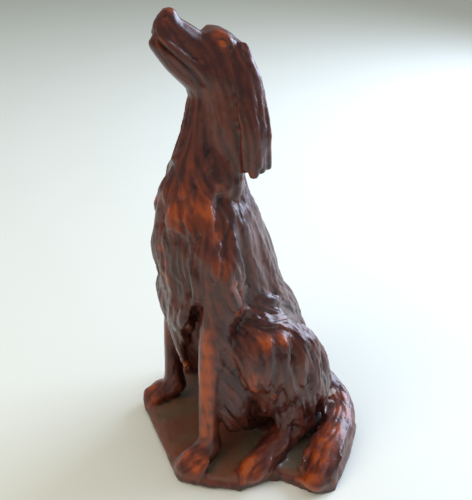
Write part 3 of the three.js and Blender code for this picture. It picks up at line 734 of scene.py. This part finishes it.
def carve_nostril(skin, centre):
    gap = np.linalg.norm(skin.points - centre, axis=1)
    skin.push(-1.6 * np.exp(-((gap / 1.3) ** 2)) + 0.3 * np.exp(-(((gap - 2.6) / 0.8) ** 2)))


def carve_toes(skin):
    """The furrows between the toes."""
    for side in (1, -1):
        for x in (34, 39.5, 45):
            out = 1 if side > 0 else 0.9
            route = [
                (x * side * out, -38, 17.5),
                (x * 1.02 * side * out, -47, 13.5),
                (x * 1.03 * side * out, -52, 9),
            ]
            press(skin, bend(route, 8), 1.1, 0.9)
        for x in (54, 58.5, 63):
            route = [((x - 2) * side, -6, 19), (x * side, -13, 15), ((x + 1) * side, -18, 9)]
            press(skin, bend(route, 8), 1.1, 0.9)


def roughen_slab(skin):
    """The slab's top is uneven and its rim chipped."""
    z = skin.points[:, 2]
    slab = ease(12.5, 9.5, z) * ease(0.2, 2.5, z)
    skin.push(slab * (0.45 * drift(skin.points, 9, 31) + 0.22 * drift(skin.points, 3.4, 32)))
    flat = skin.points[:, 2] < 0.7
    skin.points[flat, 2] = 0


FACE_DETAIL_FROM = -1.0


def refine_face(mesh):
    """More points in the face, where the small forms are."""
    shape = bmesh.new()
    shape.from_mesh(mesh)

    def in_face(point):
        away = np.array(point) / MM - SKULL
        return away @ FORWARD > FACE_DETAIL_FROM and away @ CROWN > -24 and point.z > 0.235

    chosen = {v for v in shape.verts if v.co.z > 0.235 and in_face(v.co)}
    edges = [e for e in shape.edges if e.verts[0] in chosen and e.verts[1] in chosen]
    bmesh.ops.subdivide_edges(shape, edges=edges, cuts=1, use_grid_fill=True, smooth=0.3)
    bmesh.ops.triangulate(shape, faces=shape.faces)
    shape.to_mesh(mesh)
    shape.free()
    return mesh


# Stain, wear and painted shade.


def openness(skin, rays=14, reach=22, every=3):
    """The share of the sky that a point sees past its surroundings, 0 to 1."""
    shape = bmesh.new()
    shape.from_mesh(skin.mesh)
    tree = BVHTree.FromBMesh(shape)
    shape.free()
    luck = np.random.default_rng(41)
    directions = unit(luck.normal(size=(rays, 3)))
    seen = np.zeros(skin.count)
    known = np.zeros(skin.count)
    starts = (skin.points + skin.normals * 0.5) * MM
    for i in range(0, skin.count, every):
        normal, start = skin.normals[i], Vector(starts[i])
        free = 0
        for way in directions:
            ray = way + normal * 1.02
            hit = tree.ray_cast(start, Vector(ray), reach * MM)[3]
            free += 1 if hit is None else min(1, hit / (reach * MM)) ** 0.5 * 0.6
        seen[i], known[i] = free / rays, 1
    for _ in range(6):
        seen, known = seen + skin.around(seen), known + skin.around(known)
    return seen / np.maximum(known, 1e-6)


def rubbed_places(skin):
    """How bare handling has rubbed the stain on the listed spots, 0 to 1."""
    spots = np.zeros(skin.count)
    for x, y, z, size, bareness in RUBBED:
        for side in (1, -1):
            gap = np.linalg.norm(skin.points - np.array([x * side, y, z]), axis=1)
            spots = np.maximum(spots, bareness * np.exp(-((gap / size) ** 2)))
    return spots


def store(mesh, name, values):
    attribute = mesh.attributes.new(name, "FLOAT", "POINT")
    attribute.data.foreach_set("value", values.astype(np.float32))


def mark_stain(skin, grain):
    """Leaves on the mesh what the stain, the wear and the painted shade in the hollows need to know at each
    point.
    """
    p = skin.points
    z = p[:, 2]
    small = skin.hollow(3)
    wide = skin.hollow(24)
    sky = openness(skin)
    ways = grain.at(p, skin.normals)
    streak = strands(p, WayGrid(p, ways), 12, 8, 1.7, 51)
    # Painted shade: the less of the sky a point sees past its surroundings, the darker its colour is painted.
    # This goes on top of the dark antiquing in the deep hollows.
    painted_occlusion_shade = ease(0.55, 0.16, sky)
    hollow_stain_and_shade = np.clip(0.9 * painted_occlusion_shade + 0.4 * ease(0.06, 0.4, small) + 0.4 * ease(0.25, 1.6, wide), 0, 1)
    high = np.clip(ease(0.02, 0.22, -small) * 0.6 + ease(0.1, 1.0, -wide) * 0.5, 0, 1)
    patchy = 0.5 + 0.5 * drift(p, 7, 52)
    rim = RUBBED_RIM * ease(3, 6, z) * ease(9.5, 7, z) * ease(0.75, 0.4, skin.normals[:, 2])
    rubbed = rubbed_places(skin) * (0.7 + 0.3 * high) + 0.16 * high * patchy + rim
    rubbed = np.clip(rubbed + 0.06 * streak * ease(0.1, 0.4, rubbed), 0, 1) * (1 - 0.75 * hollow_stain_and_shade)
    up = ease(0.4, 0.9, skin.normals[:, 2])
    slab = ease(13, 10, z) * up
    feet = ease(22, 9, z) * ease(0.9, 0.5, sky) * 0.7
    grime = np.clip(slab * (0.35 + 0.5 * drift(p, 14, 53) + 0.5 * ease(0.85, 0.5, sky)) + feet * up, 0, 1)
    worn = np.exp(-((np.linalg.norm(p - np.array([30, 57, 26]), axis=1) / 8) ** 2))
    worn = worn * ease(0.0, 0.5, drift(p, 3.2, 54) + 0.6)
    for name, values in {
        "hollow_stain_and_shade": hollow_stain_and_shade, "rubbed": rubbed, "grime": grime, "worn": worn, "streak": streak, "slab": slab,
    }.items():
        store(skin.mesh, name, values)


class Nodes:
    """A short way to write a material's nodes."""

    def __init__(self, material):
        material.use_nodes = True
        self.tree = material.node_tree
        self.tree.nodes.clear()

    def add(self, kind, inputs=(), **settings):
        node = self.tree.nodes.new(kind)
        for name, value in settings.items():
            setattr(node, name, value)
        for name, value in dict(inputs).items():
            if isinstance(value, bpy.types.NodeSocket):
                self.tree.links.new(value, node.inputs[name])
            else:
                node.inputs[name].default_value = value
        return node

    def mark(self, name):
        return self.add("ShaderNodeAttribute", attribute_name=name).outputs["Fac"]

    def math(self, operation, a, b=0.0, clamp=False):
        return self.add("ShaderNodeMath", {0: a, 1: b}, operation=operation, use_clamp=clamp).outputs[0]

    def blend(self, share, a, b, mode="MIX"):
        node = self.add("ShaderNodeMix", {0: share, 6: a, 7: b}, data_type="RGBA", blend_type=mode)
        return node.outputs[2]

    def span(self, value, low, high, to_low=0.0, to_high=1.0):
        inputs = {0: value, 1: low, 2: high, 3: to_low, 4: to_high}
        return self.add("ShaderNodeMapRange", inputs, interpolation_type="SMOOTHSTEP").outputs[0]

    def noise(self, place, scale, detail=3.0, roughness=0.55):
        inputs = {"Vector": place, "Scale": scale, "Detail": detail, "Roughness": roughness}
        return self.add("ShaderNodeTexNoise", inputs).outputs[0]

    def place(self, stretch=(1, 1, 1)):
        here = self.add("ShaderNodeTexCoord").outputs["Object"]
        return self.add("ShaderNodeMapping", {"Vector": here, "Scale": stretch}).outputs[0]


def wood_material(finish):
    """Dark red-brown stain over wood, black in the hollows from dark antiquing and painted shade, rubbed to
    orange on the high places.
    """
    material = bpy.data.materials.new("stained_wood")
    n = Nodes(material)
    grain = n.noise(n.place((1, 1, 0.16)), 420, 4)
    mottle = n.noise(n.place(), 55, 3)
    fleck = n.noise(n.place(), 700, 2)
    streak = n.span(n.mark("streak"), -2.2, 2.2)
    tone = n.math("ADD", n.math("MULTIPLY", streak, 0.5), n.math("MULTIPLY", mottle, 0.5))
    stain = n.blend(n.span(tone, 0.3, 0.72), tuple(finish.stain_deep), tuple(finish.stain))
    stain = n.blend(n.mark("slab"), stain, tuple(finish.slab))
    rubbing = n.math("ADD", n.mark("rubbed"), n.math("MULTIPLY", n.math("SUBTRACT", grain, 0.5), 0.3))
    rubbing = n.math("ADD", rubbing, n.math("MULTIPLY", n.math("SUBTRACT", mottle, 0.5), 0.6))
    bare = n.blend(n.span(rubbing, 0.45, 1.1), tuple(finish.rubbed_deep), tuple(finish.rubbed))
    colour = n.blend(n.span(rubbing, 0.1, 0.8), stain, bare)
    # Painted shade: the hollows are painted nearly black, partly from the dark antiquing of the carving and
    # partly from shade painted into the colour.
    hollow = n.math("ADD", n.mark("hollow_stain_and_shade"), n.math("MULTIPLY", n.math("SUBTRACT", mottle, 0.5), 0.3))
    colour = n.blend(n.span(hollow, 0.1, 0.9, 0.0, 0.97), colour, tuple(finish.hollow))
    dirt = n.math("ADD", n.mark("grime"), n.math("MULTIPLY", n.math("SUBTRACT", fleck, 0.5), 0.9))
    dirty = n.span(dirt, 0.25, 0.9, 0.0, 0.85)
    colour = n.blend(dirty, colour, tuple(finish.grime))
    pale = n.span(
        n.math("ADD", n.mark("worn"), n.math("MULTIPLY", n.math("SUBTRACT", fleck, 0.5), 0.6)), 0.35, 0.7
    )
    colour = n.blend(pale, colour, tuple(finish.worn))
    rough = n.math("ADD", finish.roughness, n.math("MULTIPLY", n.math("SUBTRACT", mottle, 0.5), 0.22))
    rough = n.math("ADD", rough, n.math("MULTIPLY", dirty, 0.3))
    rough = n.math("ADD", rough, n.math("MULTIPLY", pale, 0.25), clamp=True)
    height = n.math("ADD", n.math("MULTIPLY", grain, 0.6), n.math("MULTIPLY", fleck, 0.3))
    height = n.math("ADD", height, n.math("MULTIPLY", n.noise(n.place((1, 1, 0.35)), 190, 3), 0.9))
    bump = n.add("ShaderNodeBump", {"Strength": 0.5, "Distance": 0.00035, "Height": height}).outputs[0]
    shader = n.add(
        "ShaderNodeBsdfPrincipled",
        {
            "Base Color": colour, "Roughness": rough, "Normal": bump, "Specular IOR Level": 0.45,
            "Coat Weight": 0.25, "Coat Roughness": 0.15, "Coat IOR": 1.45,
        },
    )
    n.add("ShaderNodeOutputMaterial", {"Surface": shader.outputs[0]})
    return material


# Settings.


def colour_property(name, description, value):
    return FloatVectorProperty(
        name=name, description=description, default=(*value, 1.0), size=4, min=0, max=1, subtype="COLOR"
    )


class CarvingSettings(PropertyGroup):
    mesh_size: FloatProperty(
        name="Mesh size", description="Spacing of the points that the coat is carved in",
        default=0.00092, min=0.0006, max=0.003, unit="LENGTH", subtype="DISTANCE",
    )
    lock_depth: FloatProperty(
        name="Lock depth", description="Depth of the grooves between broad locks of hair",
        default=0.0009, min=0, max=0.003, unit="LENGTH", subtype="DISTANCE",
    )
    strand_depth: FloatProperty(
        name="Strand depth", description="Depth of the grooves between fine strands",
        default=0.0007, min=0, max=0.002, unit="LENGTH", subtype="DISTANCE",
    )


class FinishSettings(PropertyGroup):
    stain: colour_property("Stain", "Colour of the stained wood", (0.105, 0.024, 0.014))
    stain_deep: colour_property("Deep stain", "Colour where the stain has soaked in", (0.045, 0.010, 0.008))
    rubbed: colour_property(
        "Rubbed wood", "Colour where handling has rubbed the stain away", (0.36, 0.068, 0.010)
    )
    rubbed_deep: colour_property("Half-rubbed wood", "Colour where some stain is left", (0.20, 0.034, 0.008))
    # The near-black of the hollows: dark antiquing with painted shade on top.
    hollow: colour_property("Hollows", "Colour deep between the locks", (0.008, 0.004, 0.004))
    slab: colour_property("Slab", "Colour of the slab's top under its grime", (0.150, 0.055, 0.032))
    grime: colour_property("Grime", "Colour of the dirt on the slab", (0.110, 0.080, 0.045))
    worn: colour_property(
        "Worn patch", "Colour of the pale worn patch at the root of the tail", (0.50, 0.42, 0.38)
    )
    roughness: FloatProperty(
        name="Roughness", description="0 is a mirror, 1 is chalk",
        default=0.36, min=0, max=1, subtype="FACTOR",
    )


class StageSettings(PropertyGroup):
    floor: colour_property("Floor", "Colour of the floor", (0.76, 0.78, 0.71))
    window: FloatProperty(
        name="Window light", description="Power of the large cool light behind and to the right",
        default=20, min=0, max=200, unit="POWER",
    )
    ceiling: FloatProperty(
        name="Ceiling light", description="Power of the wide soft light overhead",
        default=16, min=0, max=200, unit="POWER",
    )
    fill: FloatProperty(
        name="Fill light", description="Power of the warm light at the front left",
        default=6, min=0, max=200, unit="POWER",
    )
    sky: FloatProperty(
        name="Room light", description="Strength of the pale light from all round", default=0.28, min=0, max=5
    )


# Operators.


class FIGURE_OT_dog(Operator):
    """Carve the seated dog and its slab, and stain them, with painted shade in the hollows"""

    bl_idname = "figure.dog"
    bl_label = "Dog Figure"

    def execute(self, context):
        carving = context.scene.figure_carving
        base = smooth_body(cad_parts["dog_figure"].data)
        skin, surface, grain = Skin(base), Surface(base), Grain()
        joined = together(base, lay_coat(skin, surface, grain))
        mesh = with_modifier(joined, "REMESH", mode="VOXEL", voxel_size=carving.mesh_size)
        mesh = refine_face(mesh)
        skin = Skin(mesh)
        skin.smooth(2)
        skin.write()
        carve_coat(skin, grain, carving)
        skin.write()
        carve_face(skin, Surface(mesh, with_ears=True))
        carve_toes(skin)
        skin.write()
        roughen_slab(skin)
        skin.write()
        mesh = without_crumbs(thinned(mesh, TRIANGLES))
        mark_stain(Skin(mesh), grain)
        dog = put_in_scene("carved_dog", mesh)
        mesh.shade_smooth()
        mesh.materials.clear()
        mesh.materials.append(wood_material(context.scene.figure_finish))
        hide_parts("dog_figure")
        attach(dog, "root")
        return {"FINISHED"}


TRIANGLES = 190000


def smooth_body(solid):
    """A copy of the solid without its facets."""
    shape = bmesh.new()
    shape.from_mesh(solid)
    bmesh.ops.remove_doubles(shape, verts=shape.verts, dist=1e-6)
    mesh = bpy.data.meshes.new("body")
    shape.to_mesh(mesh)
    shape.free()
    mesh = with_modifier(mesh, "SUBSURF", levels=2, render_levels=2)
    skin = Skin(mesh)
    skin.smooth(3)
    skin.points[skin.points[:, 2] < 0.3, 2] = 0
    skin.write()
    return mesh


def thinned(mesh, triangles):
    """The mesh with fewer points where it is nearly flat."""
    faces = sum(len(face.vertices) - 2 for face in mesh.polygons)
    if faces <= triangles:
        return mesh
    return with_modifier(mesh, "DECIMATE", ratio=triangles / faces, use_collapse_triangulate=True)


def without_crumbs(mesh):
    """The mesh's largest connected piece, without the small bubbles that overlapping locks can leave."""
    shape = bmesh.new()
    shape.from_mesh(mesh)
    seen, islands = set(), []
    for start in shape.verts:
        if start in seen:
            continue
        seen.add(start)
        island = [start]
        for vert in island:
            for edge in vert.link_edges:
                other = edge.other_vert(vert)
                if other not in seen:
                    seen.add(other)
                    island.append(other)
        islands.append(island)
    islands.sort(key=len)
    bmesh.ops.delete(shape, geom=[v for island in islands[:-1] for v in island], context="VERTS")
    shape.to_mesh(mesh)
    shape.free()
    return mesh


def add_light(name, place, target, size, power, colour, in_gloss=True):
    lamp = bpy.data.lights.new(name, "AREA")
    lamp.shape = "RECTANGLE"
    lamp.size, lamp.size_y = size
    lamp.energy = power
    lamp.color = colour
    piece = bpy.data.objects.new(name, lamp)
    piece.location = place
    piece.visible_glossy = in_gloss
    piece.rotation_euler = (Vector(target) - Vector(place)).to_track_quat("-Z", "Y").to_euler()
    bpy.context.scene.collection.objects.link(piece)


class FIGURE_OT_stage(Operator):
    """Set out the pale floor, the lights and the camera"""

    bl_idname = "figure.stage"
    bl_label = "Stage"

    def execute(self, context):
        stage = context.scene.figure_stage
        back = Vector((
            math.sin(CAMERA_AZIMUTH) * math.cos(CAMERA_PITCH),
            -math.cos(CAMERA_AZIMUTH) * math.cos(CAMERA_PITCH),
            math.sin(CAMERA_PITCH),
        ))
        right = Vector((math.cos(CAMERA_AZIMUTH), math.sin(CAMERA_AZIMUTH), 0))
        up = back.cross(right)
        camera = bpy.data.objects.new("camera", bpy.data.cameras.new("camera"))
        camera.data.lens = CAMERA_LENS
        camera.data.sensor_width = CAMERA_SENSOR
        camera.data.clip_start = 0.01
        turn = Matrix((right, up, back)).transposed()
        camera.matrix_world = Matrix.Translation(CAMERA_PLACE) @ turn.to_4x4()
        context.scene.collection.objects.link(camera)
        context.scene.camera = camera

        shape = bmesh.new()
        bmesh.ops.create_grid(shape, x_segments=8, y_segments=8, size=6)
        mesh = bpy.data.meshes.new("floor")
        shape.to_mesh(mesh)
        shape.free()
        floor = put_in_scene("floor", mesh)
        mesh.materials.append(floor_material(stage))

        middle = Vector((0, 0, 0.14))
        window = middle + 0.85 * right + 0.62 * up - 0.28 * back
        add_light("window", window, middle, (0.9, 0.7), stage.window, (0.66, 0.77, 1.0))
        fill = middle - 0.75 * right + 0.35 * up + 0.85 * back
        add_light("fill", fill, middle, (0.8, 0.8), stage.fill, (1.0, 0.84, 0.66), in_gloss=False)
        ceiling = Vector((0, 0, 1.7))
        add_light("ceiling", ceiling, middle, (2.4, 2.4), stage.ceiling, (1.0, 0.99, 0.96), in_gloss=False)

        world = bpy.data.worlds.new("room")
        world.use_nodes = True
        room = world.node_tree.nodes["Background"]
        room.inputs[0].default_value = (0.90, 0.96, 0.93, 1)
        room.inputs[1].default_value = stage.sky
        context.scene.world = world
        context.scene.view_settings.view_transform = "Standard"
        return {"FINISHED"}


def floor_material(stage):
    material = bpy.data.materials.new("floor")
    n = Nodes(material)
    tint = n.blend(
        n.noise(n.place(), 9, 2), tuple(stage.floor), tuple(0.97 * c for c in stage.floor[:3]) + (1,)
    )
    shader = n.add("ShaderNodeBsdfPrincipled", {"Base Color": tint, "Roughness": 0.7})
    n.add("ShaderNodeOutputMaterial", {"Surface": shader.outputs[0]})
    return material


class FIGURE_PT_panel(Panel):
    """The figure's settings and what builds it"""

    bl_label = "Dog Figure"
    bl_idname = "FIGURE_PT_panel"
    bl_space_type = "VIEW_3D"
    bl_region_type = "UI"
    bl_category = "Dog Figure"

    def draw(self, context):
        scene = context.scene
        for settings, operator in (
            (scene.figure_carving, "figure.dog"),
            (scene.figure_finish, None),
            (scene.figure_stage, "figure.stage"),
        ):
            box = self.layout.box()
            for name in settings.__annotations__:
                box.prop(settings, name)
            if operator:
                box.operator(operator)


CLASSES = (CarvingSettings, FinishSettings, StageSettings, FIGURE_OT_dog, FIGURE_OT_stage, FIGURE_PT_panel)


def register():
    for one in CLASSES:
        bpy.utils.register_class(one)
    bpy.types.Scene.figure_carving = PointerProperty(type=CarvingSettings)
    bpy.types.Scene.figure_finish = PointerProperty(type=FinishSettings)
    bpy.types.Scene.figure_stage = PointerProperty(type=StageSettings)


def unregister():
    for name in ("figure_carving", "figure_finish", "figure_stage"):
        delattr(bpy.types.Scene, name)
    for one in reversed(CLASSES):
        bpy.utils.unregister_class(one)


def main():
    register()
    bpy.ops.figure.stage()
    bpy.ops.figure.dog()


if __name__ == "__main__":
    main()
